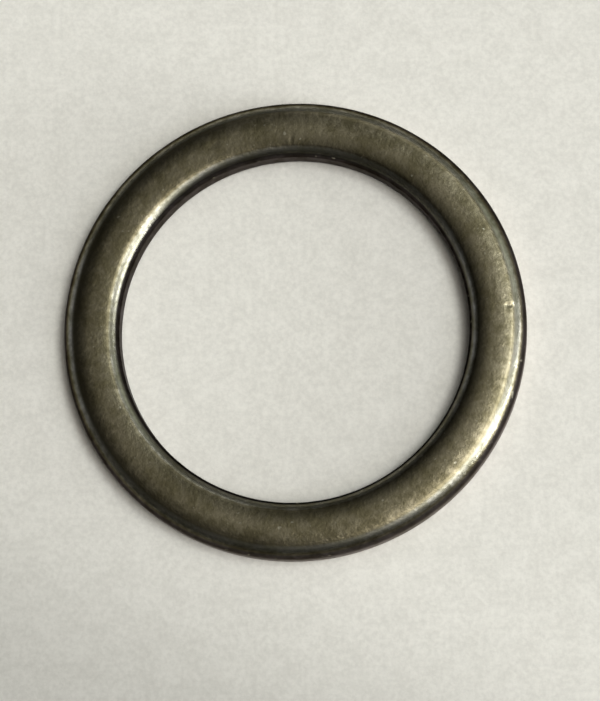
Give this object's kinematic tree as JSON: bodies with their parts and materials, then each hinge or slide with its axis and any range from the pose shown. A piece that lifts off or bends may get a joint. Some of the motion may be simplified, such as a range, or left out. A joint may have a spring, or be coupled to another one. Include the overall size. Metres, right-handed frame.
{
  "type": "pedal spacer washer",
  "caption": "Flat round steel spacer ring with rolled-over edges, clamped between a bicycle pedal's shoulder and the crank arm.",
  "frame": {"origin": "centre of the lower face, on the axis of the bore", "axes": "+Z along the axis of the bore, from the lower face towards the upper one; X and Y are alike, because the ring is round"},
  "size_m": [0.02, 0.02, 0.0016],
  "materials": {
    "steel": "satin, tumbled, with rolled-over edges"
  },
  "bodies": {
    "root": {"spacer_washer": "steel"}
  },
  "joints": []
}
